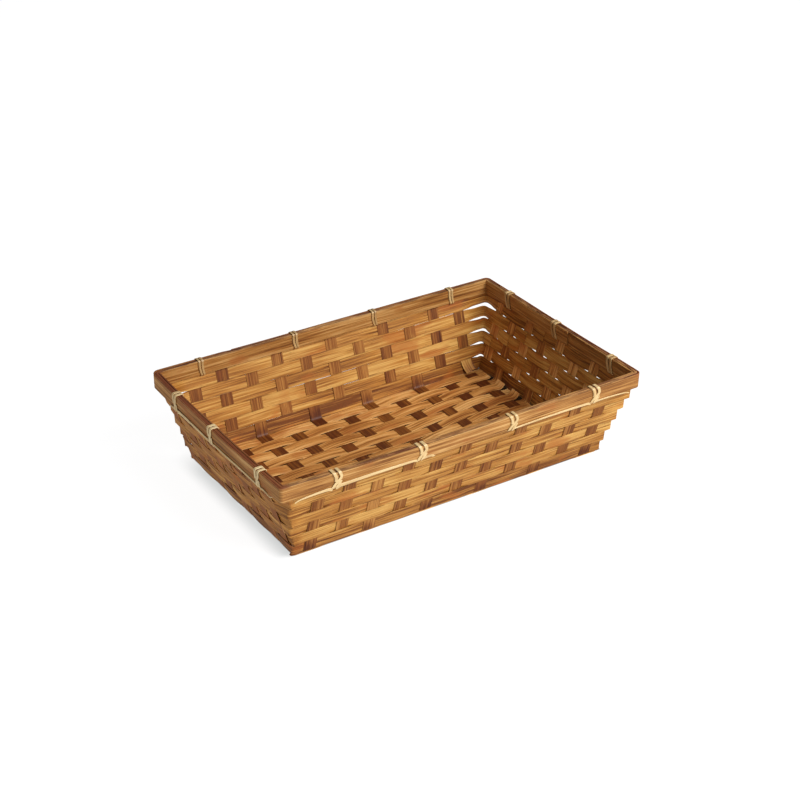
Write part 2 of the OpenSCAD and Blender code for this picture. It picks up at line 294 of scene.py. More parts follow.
# %% Mesh of one or several splints
def write_mesh(name, points, loops, counts, uvs, values):
    """A smooth mesh from flat arrays, with the splint's map and its values for the finish."""
    mesh = bpy.data.meshes.new(name)
    mesh.vertices.add(len(points))
    mesh.vertices.foreach_set("co", points.astype(np.float32).ravel())
    mesh.loops.add(len(loops))
    mesh.loops.foreach_set("vertex_index", loops.astype(np.int32))
    mesh.polygons.add(len(counts))
    mesh.polygons.foreach_set("loop_start", (np.cumsum(counts) - counts).astype(np.int32))
    mesh.uv_layers.new(name="fibre").data.foreach_set("uv", uvs.astype(np.float32).ravel())
    for key, parts in values.items():
        at = mesh.attributes.new(key, "FLOAT", "POINT")
        at.data.foreach_set("value", np.concatenate(parts).astype(np.float32))
    mesh.update(calc_edges=True)
    mesh.polygons.foreach_set("use_smooth", np.ones(len(counts), bool))
    mesh.set_sharp_from_angle(angle=np.radians(50))
    return mesh


def make_piece(name, strips):
    """All splints of a piece as one mesh. An open splint gets a cap at each end. Faces are turned
    round where the volume comes out negative, so that they always point outwards."""
    points, loops, uvs, counts = [], [], [], []
    values = {"tone": [], "edge": [], "stain": []}
    first = 0
    for s in strips:
        n, m = s["grid"].shape[:2]
        quads, uv = grid_faces(s)
        flat = settled(s["grid"].reshape(-1, 3))
        flip = slice(None, None, -1 if volume(flat, quads) < 0 else 1)
        points.append(flat)
        loops.append(quads[:, flip].ravel() + first)
        uvs.append(uv[:, flip].reshape(-1, 2))
        counts.append(np.full(len(quads), 4))
        if not s["closed"]:
            first_ring, last_ring = np.arange(m), np.arange(n * m)[:-m - 1:-1]
            for cap, at in ((first_ring, s["along"][0]), (last_ring, s["along"][-2])):
                loops.append(cap[flip] + first)
                uvs.append(np.column_stack([np.full(m, at), s["round"][cap % m]])[flip])
                counts.append(np.array([m]))
        for key in values:
            values[key].append(s[key].ravel())
        first += len(flat)
    mesh = write_mesh(name, np.vstack(points), np.concatenate(loops), np.concatenate(counts),
                      np.vstack(uvs), values)
    piece = bpy.data.objects.new(name, mesh)
    bpy.context.scene.collection.objects.link(piece)
    return piece


# %% [markdown]
# ## Finishes
# Bamboo has long fibres, so every pattern is stretched along the splint: the finish reads the
# splint's own map, where one axis runs along it and the other round it. A small class lets
# sums and products of sockets be written as plain expressions.


# %% Sockets as expressions
class Wire:
    """One output socket, with operators that add Math nodes."""

    def __init__(self, finish, socket):
        self.finish, self.socket = finish, socket

    def math(self, operation, *values):
        return self.finish.add("Math", {"operation": operation}, dict(enumerate(values)))

    def __add__(self, other):
        return self.math("ADD", self, other)

    __radd__ = __add__

    def __mul__(self, other):
        return self.math("MULTIPLY", self, other)

    __rmul__ = __mul__

    def __sub__(self, other):
        return self.math("SUBTRACT", self, other)

    def __rsub__(self, other):
        return self.math("SUBTRACT", other, self)

    def span(self, low, high):
        """0 at low, 1 at high, smoothly between."""
        return self.finish.add("MapRange", {"interpolation_type": "SMOOTHSTEP"},
                               {"Value": self, "From Min": low, "From Max": high})


class Finish:
    """The node tree of one material."""

    def __init__(self, name):
        self.material = bpy.data.materials.new(name)
        self.material.use_nodes = True
        self.tree = self.material.node_tree
        self.tree.nodes.clear()

    def add(self, kind, settings=None, values=None, take=0):
        """A node of that type: settings first, then the values or links of its sockets."""
        node = self.tree.nodes.new("ShaderNode" + kind)
        for name, value in (settings or {}).items():
            if name == "stops":
                for extra in value[2:]:
                    node.color_ramp.elements.new(extra[0])
                for stop, (position, colour) in zip(node.color_ramp.elements, sorted(value)):
                    stop.position, stop.color = position, (*colour, 1)
            else:
                setattr(node, name, value)
        for key, value in (values or {}).items():
            if isinstance(value, Wire):
                self.tree.links.new(value.socket, node.inputs[key])
            elif node.inputs[key].type == "RGBA":
                node.inputs[key].default_value = (*value, 1)
            else:
                node.inputs[key].default_value = value
        return Wire(self, node.outputs[take]) if node.outputs else node

    def mix(self, factor, a, b, blend="MIX"):
        """Colour b over colour a."""
        return self.add("Mix", {"data_type": "RGBA", "blend_type": blend}, {0: factor, 6: a, 7: b}, 2)

    def noise(self, along, across, detail=2.0, rough=0.5):
        """Noise with that many waves a metre along the splint and round it."""
        spot = self.add("UVMap", {"uv_map": "fibre"})
        spot = self.add("VectorMath", {"operation": "MULTIPLY"}, {0: spot, 1: (along, across, 1)})
        return self.add("TexNoise", {"noise_dimensions": "2D"},
                        {"Vector": spot, "Scale": 1.0, "Detail": detail, "Roughness": rough})

    def value(self, name):
        """A value that the mesh carries."""
        return self.add("Attribute", {"attribute_name": name}, take=2)

    def close(self, sockets):
        """The shader, and the material's output."""
        shader = self.add("BsdfPrincipled", {}, sockets)
        self.add("OutputMaterial", {}, {"Surface": shader})
        return self.material


def paint(red, green, blue):
    """Linear colour of a paint given as screen values from 0 to 255."""
    c = np.array([red, green, blue]) / 255
    return tuple(np.where(c <= 0.04045, c / 12.92, ((c + 0.055) / 1.055) ** 2.4))


# %% [markdown]
# ### Bamboo
# Split bamboo is honey coloured, with darker bundles of fibre along it. The colour comes from
# one number: the splint's tone, which on some walls also carries painted shade, plus wide strips,
# streaks and fine fibres. Then come the warm patches, the dark flecks that sit in the grain,
# the painted shade along the edges and the paler edges. The bump uses the same fibres, so a dark
# line is also a groove.


# %% Bamboo finish
def bamboo(name, dark, honey, pale, warm, streaks=1.0, paler=0.3, flecks=0.6, edge_shade=0.4, rough=0.52):
    """Bamboo from dark over honey to pale, with warm patches. Streaks, paler edges, flecks and
    the painted shade along the edges say how much there is of each."""
    f = Finish(name)
    tone, edge = f.value("tone"), f.value("edge")
    wide, streak = f.noise(7, 170, 2), f.noise(10, 520, 3, 0.62)
    fine, hair = f.noise(26, 1150, 3, 0.6), f.noise(90, 5200, 2)
    patch, cloud = f.noise(22, 60, 3), f.noise(14, 35, 2)
    shade = (0.5 + 0.45 * tone + streaks * (wide - 0.5) + (1.5 * streaks) * (streak - 0.5)
             + (1.3 * streaks) * (fine - 0.5) + 0.5 * (cloud - 0.5))
    colour = f.add("ValToRGB", {"stops": [(0.1, dark), (0.92, pale), (0.52, honey)]}, {0: shade})
    colour = f.mix(0.6 * patch.span(0.56, 0.72), colour, warm)
    line = streak.span(0.36, 0.27) * fine.span(0.64, 0.42)
    colour = f.mix(flecks * line, colour, tuple(0.3 * c for c in dark))
    fleck = f.noise(160, 900, 2).span(0.735, 0.80)
    colour = f.mix((0.8 * flecks) * fleck, colour, tuple(0.2 * c for c in dark))
    spots = f.noise(60, 300, 2)
    # Painted shade: darker spots along the splint edges, for the shadow lines between neighbouring
    # splints.
    colour = f.mix((edge_shade * edge) * spots.span(0.62, 0.42), colour, tuple(0.35 * c for c in dark))
    # Paler spots along the splint edges.
    colour = f.mix((paler * edge) * spots.span(0.46, 0.66), colour, pale)
    colour = f.mix(f.value("stain") * 0.8, colour, paint(128, 66, 34))
    height = 0.55 * streak + 0.35 * fine + 0.18 * hair
    bump = f.add("Bump", {}, {"Strength": 0.8, "Distance": 0.24 * MM, "Height": height})
    return f.close({"Base Color": colour, "Roughness": rough + 0.22 * (streak - 0.5),
                    "Specular IOR Level": 0.3, "Coat Weight": 0.05, "Coat Roughness": 0.3,
                    "Normal": bump})


finish_weaver = bamboo("bamboo_weaver", paint(112, 60, 16), paint(182, 122, 50), paint(218, 170, 92),
                       paint(176, 98, 32), streaks=0.8)
finish_row = bamboo("bamboo_row", paint(142, 82, 32), paint(212, 148, 76), paint(242, 190, 120),
                    paint(184, 108, 50), paler=0.7, streaks=0.9)
finish_stake = bamboo("bamboo_stake", paint(88, 38, 6), paint(142, 84, 28), paint(186, 128, 60),
                      paint(132, 70, 22), streaks=0.7, paler=0.2)
finish_band = bamboo("bamboo_band", paint(118, 70, 30), paint(172, 118, 58), paint(208, 162, 100),
                     paint(162, 94, 42), streaks=0.85)
finish_filler = bamboo("bamboo_filler", paint(70, 28, 14), paint(124, 66, 32), paint(190, 138, 82),
                       paint(116, 52, 24), streaks=1.2)
print("bamboo finishes:", [m.name for m in bpy.data.materials if m.name.startswith("bamboo")])


# %% [markdown]
# ### Cane
# The lashing is split cane: much paler, smooth and a little glossy, with fine lines along it
# and a few darker patches. It needs no paler or shaded edges, because its strands are so narrow.


# %% Cane finish
def cane(name):
    """Pale cane with lines along it and a few darker patches."""
    f = Finish(name)
    streak, fine = f.noise(40, 1500, 3), f.noise(120, 5000, 2)
    shade = 0.5 + 0.5 * f.value("tone") + 0.8 * (streak - 0.5) + 0.4 * (fine - 0.5)
    colour = f.add("ValToRGB", {"stops": [(0.1, paint(160, 118, 66)), (0.85, paint(234, 208, 156)),
                                          (0.5, paint(216, 182, 126))]}, {0: shade})
    colour = f.mix(0.35 * f.noise(90, 400, 2).span(0.6, 0.75), colour, paint(170, 126, 76))
    height = 0.6 * streak + 0.4 * fine
    bump = f.add("Bump", {}, {"Strength": 0.5, "Distance": 0.12 * MM, "Height": height})
    return f.close({"Base Color": colour, "Roughness": 0.38 + 0.2 * (streak - 0.5),
                    "Coat Weight": 0.2, "Coat Roughness": 0.25, "Normal": bump})


finish_cane = cane("cane")
print("cane finish:", len(finish_cane.node_tree.nodes), "nodes")


# %% Place a finished piece
def place(name, strips, finish, slot, *nodes):
    """The piece gets its finish, stands for its nodes and rides on the one body. The slot is not used."""
    piece = make_piece(name, strips)
    piece.data.materials.append(finish)
    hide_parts(*nodes)
    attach(piece, "root")
    return piece


# %% [markdown]
# ## Lines that splints take
# Seen from the side, a stake is a straight line across the base with a bend at each edge, the
# lean of the wall, and a last bend to stand upright between the rim bands. A corner of that
# line becomes an arc, and then the line is cut into even steps.


# %% Bent lines
def rounded(corners, radii, steps=10):
    """Line whose corners are arcs: an arc starts r tan(half the turn) before its corner and swings
    round its centre, which lies r to the side of the line."""
    line = [corners[:1]]
    for a, b, c, r in zip(corners[:-2], corners[1:-1], corners[2:], radii):
        u, v = unit(b - a), unit(c - b)
        angle = np.arccos(np.clip(u @ v, -1, 1))
        normal = np.sign(u[0] * v[1] - u[1] * v[0]) * np.array([-u[1], u[0]])
        centre = b - u * r * np.tan(angle / 2) + normal * r
        t = np.linspace(0, angle, steps)[:, None]
        line.append(centre + r * (u * np.sin(t) - normal * np.cos(t)))
    return np.vstack(line + [corners[-1:]])


def evenly(line, step):
    """The same line with stations at even distances, each coordinate read off against the
    distance travelled."""
    travelled = np.concatenate([[0], np.cumsum(np.linalg.norm(np.diff(line, axis=0), axis=1))])
    at = np.linspace(0, travelled[-1], int(round(travelled[-1] / step)) + 1)
    return np.column_stack([np.interp(at, travelled, c) for c in line.T])


BASE_BEND, TOP_BEND = 2.5 * MM, 8 * MM


def up_both_walls(foot, foot_z, top):
    """Side view of a splint across the base and up both walls to its tips."""
    corners = np.array([(-top, tip_z), (-top, band_low[2]), (-foot, foot_z),
                        (foot, foot_z), (top, band_low[2]), (top, tip_z)])
    return rounded(corners, [TOP_BEND, BASE_BEND, BASE_BEND, TOP_BEND])


# %% [markdown]
# ## Cross stakes
# Eleven splints run from front to back under every second row. They are the dark squares of
# the base and of the long walls. The last one was too short: it ends at the back edge of the
# base, and a loose piece carries on up the back wall, with its foot kicked inwards.


# %% Cross stakes
def stake_strip(side_view, x, seed, tone):
    """Splint through (y, z) stations at x. It wanders sideways by a fraction of a millimetre, and
    is darker in the base than in the walls."""
    y, z = side_view.T
    wander = 0.35 * MM * unevenness(y / MM / 60, 3, seed)
    line = np.column_stack([x + wander, y, z])
    width = stake_w * (1 + 0.02 * unevenness(y / MM / 45, 5, seed + 7))
    up_wall = ease((z / MM - 3) / 12)[:, None]
    return splint(line, np.array([[1.0, 0, 0]]), width, SPLINT, seed, tone=tone - 0.75 + 0.85 * up_wall,
                  groove=0.12 * MM, crown=0.06 * MM)


stake_tone = np.random.default_rng(3).uniform(-0.3, 0.3, 11)
whole = evenly(up_both_walls(wall_y(base_z), base_z, rim_y), STEP)
for i, x in enumerate(stake_x):
    side_view = whole
    if i == 10:
        side_view = whole[: np.argmax(whole[:, 0] > wall_y(base_z) - 2 * MM)]
    place(STAKES[i] + "_splint", [stake_strip(side_view, x, 20 + i, stake_tone[i])],
          finish_stake, "stake_splint", STAKES[i])

# %% Splice in the back wall
LOOSE_BELOW, KICK_IN, KICK_ASIDE = 15 * MM, 3.2 * MM, 2.4 * MM
foot_z = box("back_splice_stake")[0][2]
corners = np.array([(wall_y(foot_z), foot_z), (rim_y, band_low[2]), (rim_y, tip_z)])
stub = evenly(rounded(corners, [TOP_BEND]), STEP)
loose = np.clip((LOOSE_BELOW - stub[:, 1]) / (LOOSE_BELOW - foot_z), 0, 1) ** 2
stub[:, 0] -= KICK_IN * loose
pale = ease((20 * MM - stub[:, 1:]) / (7 * MM))
strip = stake_strip(stub, stake_x[10] + KICK_ASIDE * loose, 41, 1.6 * pale - 0.6)
place("back_splice_stake_splint", [strip], finish_weaver, "stake_splint", "back_splice_stake")
print("cross stakes:", len(stake_x), "and a splice, each of", len(whole), "stations")


# %% [markdown]
# ## Rows of the base
# Fifteen rows cross the stakes, over one and under the next. Every other row is a long stake
# that turns up into the short walls; the rest are cut off at the ends of the base. A woven
# row isn't straight: here the rows drift towards the front on the left and towards the back
# on the right, and each is as wide as its neighbours leave room for. The rows could be made
# straight and bent afterwards, but then gaps would open wherever two of them drift apart.


# %% Course of the rows
def over_under(phase, height, flat):
    """Wave of a splint over and under the others: a cosine with flattened crests, by the ratio
    tanh(flat cos) / tanh(flat). The phase grows by 1 from one crossing to the next."""
    return height * np.tanh(flat * np.cos(np.pi * phase)) / np.tanh(flat)


def course(r, x):
    """Distance of row r (1 at the back) from the centre at x: a regular pitch less the drift, which
    is a share of the pitch on the left, another on the right, and smoothly in between."""
    left = np.clip(-0.25 + 0.17 * (r - 1), -0.12, 0.6) if r < 7 else 0.6 * (15 - r) / 9
    right = -0.45 * min(1, 0.35 + 0.33 * (r - 1)) if r < 10 else -0.09 * (15 - r)
    left = left * mix(0.35, 1, ease((x / MM + 150) / 55))
    right = right * mix(1, 0.6, ease((x / MM - 138) / 12))
    drift = mix(left, right, ease((x / MM - 25) / 105))
    return row_y[r - 1] - row_pitch * drift


ROW_GAP = 0.1 * MM
EDGE_ROOM = 2 * MM
BASE_END = wall_x(low_z)


def row_band(r, x):
    """Middle and width of row r at x: it fills the space up to halfway to each neighbour, and the
    first and last row fill the edge of the base as well."""
    x = np.clip(x, -BASE_END + 4 * MM, BASE_END - 4 * MM)
    here = course(r, x)
    upper = (here + course(r - 1, x) - ROW_GAP) / 2 if r > 1 else here + row_w / 2
    lower = (here + course(r + 1, x) + ROW_GAP) / 2 if r < 15 else here - row_w / 2
    upper, lower = upper + EDGE_ROOM * (r == 1), lower - EDGE_ROOM * (r == 15)
    return (upper + lower) / 2, upper - lower


# %% Rows
LIFTED_ENDS = {4: 4.6 * MM, 6: 5.2 * MM}
END_LIFT = 1.4 * MM
row_end = box(ROWS[1])[1][0]
row_tone = np.random.default_rng(5).uniform(-0.3, 0.3, 16)
outer_edge = stake_x[-1] + stake_w / 2
long_view = evenly(up_both_walls(wall_x(low_z), low_z, rim_x), STEP)


def row_side(r):
    """Side view (x, z) of row r before it is woven: a long stake up both walls, or a cut row whose
    ends lift with the square of the distance past the outer stake."""
    if r % 2:
        return long_view.T
    x = np.linspace(-row_end, row_end, int(2 * row_end / STEP))
    lift = np.where(x > 0, LIFTED_ENDS.get(r, END_LIFT), 1.5 * MM)
    past = np.clip((np.abs(x) - outer_edge) / (row_end - outer_edge), 0, 1)
    return x, base_z + CRIMP + lift * past ** 2


for r in range(1, 16):
    x, z = row_side(r)
    phase = np.clip((x - stake_x[0]) / (stake_x[1] - stake_x[0]), 0, 10)
    swing = over_under(phase, CRIMP, 1.6) * (-1) ** r
    z = z + swing - swing[0]
    centre, width = row_band(r, x)
    centre = centre + 0.25 * MM * unevenness(x / MM / 40, 1, 60 + r)
    width = width * (1 + 0.012 * unevenness(x / MM / 30, 2, 80 + r))
    width = np.where(np.abs(x) > BASE_END, np.minimum(width, row_w * 1.05), width)
    raised = 0 * z if r % 2 else 1.3 * np.clip((z - base_z - CRIMP) / (4 * MM), 0, 1)
    paler = 0.5 * np.exp(-(x / (80 * MM)) ** 2) - 0.22
    # Painted shade: a long stake is much darker where it stands in the left wall.
    tone = row_tone[r] + raised + paler - 1.4 * (x < -BASE_END)
    strip = splint(np.column_stack([x, centre, z]), np.array([[0, -1.0, 0]]), width, SPLINT, 100 + r,
                   tone=tone[:, None], tone_wave=0.4, groove=0.09 * MM, crown=0.05 * MM)
    place(ROWS[r - 1] + "_splint", [strip], finish_row,
          "stake_splint" if r % 2 else "row_splint", ROWS[r - 1])
lowest = float(long_view[:, 1].min() - SPLINT / 2)
print("rows:", len(ROWS), "with the lowest point at", round(lowest / MM, 3), "mm")


# %% [markdown]
# ## Weavers
# Six splints go round the walls. On a wall they lean with it, but a flat splint can't lean and
# turn a corner at once, so it stands up near the corners, and half-moon slits open between
# one weaver and the next. A closed hoop would be simpler, but a real weaver has two ends: they
# lap on the right wall, shaved thin there so that the lap is hardly thicker than the splint.


# %% Line of a weaver
ALONG = np.array([(1, 0), (0, 1), (-1, 0), (0, -1)], float)
OUT = np.array([(0, -1), (1, 0), (0, 1), (-1, 0)], float)
long_y = np.array([row_band(r, np.array([BASE_END]))[0][0] for r in range(1, 16, 2)])
long_y_left = np.array([row_band(r, np.array([-BASE_END]))[0][0] for r in range(1, 16, 2)])
wall_stakes = [stake_x, long_y[::-1], -stake_x[::-1], -long_y_left]
stake_half = [stake_w / 2, row_w / 2, stake_w / 2, row_w / 2]
stakes_before = [0, 11, 19, 30]
wall_at = [wall_y, wall_x, wall_y, wall_x]
wall_lean = [lean_y, lean_x, lean_y, lean_x]
SWAY, STAND, UPRIGHT = 0.63 * MM, 12 * MM, 0.15
RISE_SHARE = [0.5, 0.1, -0.7, 0.5]


def on_wall(w, k, s):
    """Distance out, lean and rise of weaver k at s along wall w: the wall's middle plus the sway
    over and under the stakes, with a little rise on one side of them. Past the last stake the
    lean eases off to almost upright."""
    stakes = wall_stakes[w]
    phase = np.interp(s, stakes, np.arange(len(stakes)))
    sign = 1 if (stakes_before[w] + 1 + k) % 2 else -1
    past = np.maximum(stakes[0] - stake_half[w] - s, s - stakes[-1] - stake_half[w])
    lean = wall_lean[w] * mix(1, UPRIGHT, ease(past / STAND))
    swing = sign * over_under(phase, SWAY, 1.2)
    return wall_at[w](weaver_z[k - 1]) + swing / np.cos(lean), lean, swing * RISE_SHARE[w]


def weaver_loop(k, corner_r):
    """Closed line (x, y, lean, rise) of weaver k: along each wall, then a quarter circle whose
    radius leaves the last stake of each wall free."""
    ends = [(on_wall(w, k, -1.0)[0], on_wall(w, k, 1.0)[0]) for w in range(4)]
    edge = [wall_stakes[w][-1] + stake_half[w] for w in range(4)]
    radius = [float(np.clip(min(ends[(w + 1) % 4][0] - edge[w], ends[w][1] - edge[(w + 1) % 4])
                            - 0.4 * MM, 1.2 * MM, corner_r[w])) for w in range(4)]
    stations = []
    for w in range(4):
        after = (w + 1) % 4
        start, end = radius[w - 1] - ends[w - 1][1], ends[after][0] - radius[w]
        s = np.linspace(start, end, int((end - start) / STEP))
        out, lean, rise = on_wall(w, k, s)
        t = np.linspace(0, 1, 9)[1:-1]
        along = np.append(s, end + radius[w] * np.sin(np.pi / 2 * t))
        out = np.append(out, out[-1] - radius[w] * (1 - np.cos(np.pi / 2 * t)))
        lean = np.append(lean, mix(lean[-1], on_wall(after, k, -1.0)[1], t))
        rise = np.append(rise, mix(rise[-1], on_wall(after, k, -1.0)[2], ease(t)))
        plan = along[:, None] * ALONG[w] + out[:, None] * OUT[w]
        stations.append(np.column_stack([plan, lean, rise]))
    return np.vstack(stations)


# %% Lap of a strip
LAP, SHAVE = 44 * MM, 8 * MM


def open_loop(loop, start, lap):
    """A closed loop as an open strip from station start once round and on for lap metres."""
    loop = np.roll(loop, -start, 0)
    gone = np.cumsum(np.linalg.norm(np.diff(loop[:, :2], axis=0), axis=1))
    return np.vstack([loop, loop[: np.argmax(gone > lap) + 1]])


def shaved(line, lap, thick):
    """Sideways offset and thickness of a lapped strip: the start goes to the inside and the end
    to the outside by 0.3 of the thickness, both shaved to 0.6 of it."""
    gone = np.concatenate([[0], np.cumsum(np.linalg.norm(np.diff(line[:, :2], axis=0), axis=1))])
    start = 1 - ease((gone - lap) / SHAVE)
    end = 1 - ease((gone[-1] - gone - lap) / SHAVE)
    return 0.3 * thick * (end - start), thick * (1 - 0.4 * start - 0.4 * end)


# %% [markdown]
# The six weavers differ a little. The lowest is wider, because it covers the bend of the stakes,
# and painted darker, as shade low on the walls. The upper ones are drawn in at the left corners
# and pushed up towards the back right corner, where the slits are widest. A shift that ends
# suddenly would put a kink in the splint, so it fades with the distance from the corner as
# exp(-(distance / reach)^2).


# %% Shifts of the upper weavers
IN_FRONT, IN_BACK, IN_REACH = 5.0 * MM, 3.6 * MM, 11 * MM
PUSHED_UP, UP_REACH = [0.2, 0.4, 0.6, 0.8, 1.1, 1.2], 42 * MM


def draw_in(loop, k):
    """Moves the stations near the two left corners inwards, the most for the highest weaver."""
    for side, most in ((-1, IN_FRONT), (1, IN_BACK)):
        away = np.hypot(loop[:, 0] + wall_x(weaver_z[k - 1]), loop[:, 1] - side * wall_y(weaver_z[k - 1]))
        loop[:, 0] += most * ((k - 1) / 5) ** 1.3 * np.exp(-(away / IN_REACH) ** 2)


def weaver_height(line, k):
    """Height of weaver k: its place in the frame, its rise beside the stakes, a small lift that
    grows with k, and the push near the back right corner."""
    away = np.hypot(line[:, 0] - rim_x, line[:, 1] - rim_y) / UP_REACH
    push = 0.2 * (k - 1) - 0.35 * (k == 1) + PUSHED_UP[k - 1] * np.exp(-away ** 2)
    return weaver_z[k - 1] + push * MM + line[:, 3]


def across_wall(ahead, lean):
    """Direction up the leaning wall: the outward direction times the sine of the lean, and
    upwards times its cosine."""
    return np.column_stack([ahead[:, 1] * np.sin(lean), -ahead[:, 0] * np.sin(lean), np.cos(lean)])


# %% Weavers
# tone of each weaver; the lowest is painted darker, as shade low on the walls
weaver_tone_and_shade = [-0.5, 0.05, 0.22, 0.0, 0.1, -0.05]
draws = np.random.default_rng(11)
for k in range(1, 7):
    far_x = wall_x(weaver_z[k - 1])
    loop = weaver_loop(k, draws.uniform(2.6, 4.0, 4) * MM * (1, 1, 1, 0.5))
    draw_in(loop, k)
    start = np.argmin(np.hypot(loop[:, 0] - far_x, loop[:, 1] - long_y[(3 + k) % 6]))
    line = open_loop(loop, start, LAP)
    angle = np.arctan2(line[:, 1] / rim_y, line[:, 0] / rim_x)
    waves, turns = draws.uniform(0.05, 0.18, 4) * MM, draws.uniform(0, 6.28, 4)
    wander = sum(a * np.sin(n * angle + b) for n, a, b in zip((2, 3, 5, 9), waves, turns))
    shift, thick = shaved(line, LAP, SPLINT)
    ahead, lean = unit(np.gradient(line[:, :2], axis=0)), line[:, 2]
    out = np.column_stack([ahead[:, 1], -ahead[:, 0], 0 * lean])
    path = np.column_stack([line[:, :2], weaver_height(line, k) + wander]) + out * shift[:, None]
    full = np.diff(weaver_z).mean() / np.cos(lean_y) + (1.2 if k == 1 else 0.25) * MM
    width = mix(full, weaver_w, 1 - lean / max(lean_x, lean_y))
    width = width * (1 + 0.008 * np.sin(3 * angle + turns[0]) + 0.006 * np.sin(7 * angle + turns[1]))
    # Painted shade: weavers are darker on the left wall, the two lowest the most.
    left_wall_shade = ease((-line[:, 0] / far_x - 0.93) / 0.04)
    tone = weaver_tone_and_shade[k - 1] - (0.35 if k < 3 else 0.2) * left_wall_shade
    strip = splint(path, across_wall(ahead, lean), width, thick, 200 + 3 * k, tone=tone[:, None],
                   tone_wave=0.35, groove=0.08 * MM, crown=0.08 * MM)
    place(WEAVERS[k - 1] + "_splint", [strip], finish_weaver, "weaver_splint", WEAVERS[k - 1])
print("weavers:", len(WEAVERS), "each of", len(path), "stations, lapped by", LAP / MM, "mm")


# %% [markdown]
# ## Rim
# Two wide splints stand upright round the tips, one outside and one inside, and a darker
# splint fills the slot between their top edges. The bands were bent while damp, so the
# corners differ: the near corner on the left is almost a crease. One function makes all three,
# because they are the same hoop with another inset, thickness and height.


# %% Rim bands and filler
CORNERS = np.array([4.5, 5.0, 6.5, 3.2]) * MM
RIM_LAP, RIM_WAVE = 60 * MM, 0.22 * MM


def hoop(half_x, half_y, radii, step=2.0 * MM):
    """Closed line round a rectangle with rounded corners, counted from the front right."""
    stations = []
    for w in range(4):
        reach = (half_x, half_y)[w % 2]
        out = (half_y, half_x)[w % 2]
        start, end = radii[w - 1] - reach, reach - radii[w]
        s = np.linspace(start, end, int((end - start) / step))
        t = np.radians(np.linspace(0, 90, 9))[1:-1]
        along = np.append(s, end + radii[w] * np.sin(t))
        far = np.append(0 * s + out, out - radii[w] * (1 - np.cos(t)))
        stations.append(along[:, None] * ALONG[w] + far[:, None] * OUT[w])
    return np.vstack(stations)


def rim_strip(inset, thick, height, top, seed, groove, lap_at, columns):
    """Hoop of a rim splint, inset from the rim's outside, with uneven edges and lapped ends. A
    stain darkens its top edge on the left, and on the outermost also on the right and at the
    back. The narrow filler is paler at the front."""
    half_x, half_y = band_high[0] - inset - thick / 2, band_high[1] - inset - thick / 2
    loop = hoop(half_x, half_y, np.maximum(CORNERS - inset - thick / 2, 0.4 * MM))
    start = np.argmin(np.hypot(loop[:, 0] - lap_at[0], loop[:, 1] - lap_at[1]))
    loop = np.column_stack([loop, np.zeros(len(loop))])
    line = open_loop(loop, start, RIM_LAP)
    angle = np.arctan2(line[:, 1] / rim_y, line[:, 0] / rim_x)
    turns = np.random.default_rng(seed).uniform(0, 6.28, 6)
    rise = RIM_WAVE * (0.5 * np.sin(2 * angle + turns[0]) + 0.35 * np.sin(5 * angle + turns[1])
                       + 0.25 * np.sin(11 * angle + turns[2]))
    shift, thin = shaved(line, RIM_LAP, thick)
    ahead = unit(np.gradient(line[:, :2], axis=0))
    out = np.column_stack([ahead[:, 1], -ahead[:, 0]])
    plan = line[:, :2] + out * (shift + 0.12 * MM * np.sin(6 * angle + turns[3]))[:, None]
    tall = height * (1 + 0.012 * np.sin(3 * angle + turns[4]))
    path = np.column_stack([plan, top - height / 2 + rise])
    x, y = plan.T
    left, right = (ease((side * x - rim_x + 9 * MM) / (7 * MM)) for side in (-1, 1))
    front, back = (ease((side * y - rim_y + 9 * MM) / (7 * MM)) for side in (-1, 1))
    outermost, narrow = inset == 0, columns < 10
    stain = np.maximum(left, np.maximum(right, 0.7 * back) * outermost)
    return splint(path, np.array([[0, 0, 1.0]]), tall, thin, seed, tone=(0.7 * front * narrow)[:, None],
                  columns=columns, round_r=0.42 * MM, groove=groove, crown=0.05 * MM, tone_wave=0.3,
                  stain=stain)


outer = rim_strip(0, BAND, band_h, rim_top, 301, 0.14 * MM, (-40 * MM, rim_y), 26)
place("rim_outer_band_splint", [outer], finish_band, "rim_band", "rim_outer_band")
inset = band_high[0] - inner_high[0]
inner = rim_strip(inset, BAND, band_h, rim_top, 311, 0.14 * MM, (rim_x, -20 * MM), 26)
place("rim_inner_band_splint", [inner], finish_band, "rim_band", "rim_inner_band")
filler_low, filler_high = box("rim_filler")
filler_inset = band_high[0] - filler_high[0]
filler = rim_strip(filler_inset, inset - filler_inset - 0.2 * MM, filler_high[2] - filler_low[2],
                   rim_top - 0.15 * MM, 321, 0.1 * MM, (rim_x, 30 * MM), 8)
place("rim_filler_splint", [filler], finish_filler, "rim_filler", "rim_filler")
print("rim: two bands of", len(outer["grid"]), "stations and a filler of",
      round((inset - filler_inset) / MM, 2), "mm")


# %% [markdown]
# ## Lashing
# Cane goes twice round both bands at each tie, and runs along the outer band to the next. A
# ring for each turn would do from afar, but a real tie is one strand, so here it is one flat
# bar on a rounded rectangle, pulled sideways on its way down each face. The hand that tied
# them worked at its own pace: each wall has its own pull and its own gap between the turns,
# and hardly a tie sits just where it should.


# %% Ties
GRIP = 0.12 * MM
WALL_NAMES = ["front", "right", "back", "left"]
# millimetres along the wall: bow and foot outside, bow and foot inside
PULL = {"front": (2.4, -2.8, 0.4, -1.0), "right": (1.2, -1.6, 0.6, -3.6),
        "back": (1.6, -2.0, 0.6, -1.8), "left": (-0.8, 3.0, 0.4, -1.0)}
# millimetres from the middle of a tie to each turn, at the top and at the foot
GAPS = {"front": (2.5, 1.8), "right": (2.1, 1.6), "back": (1.5, 1.15), "left": (2.1, 1.7)}
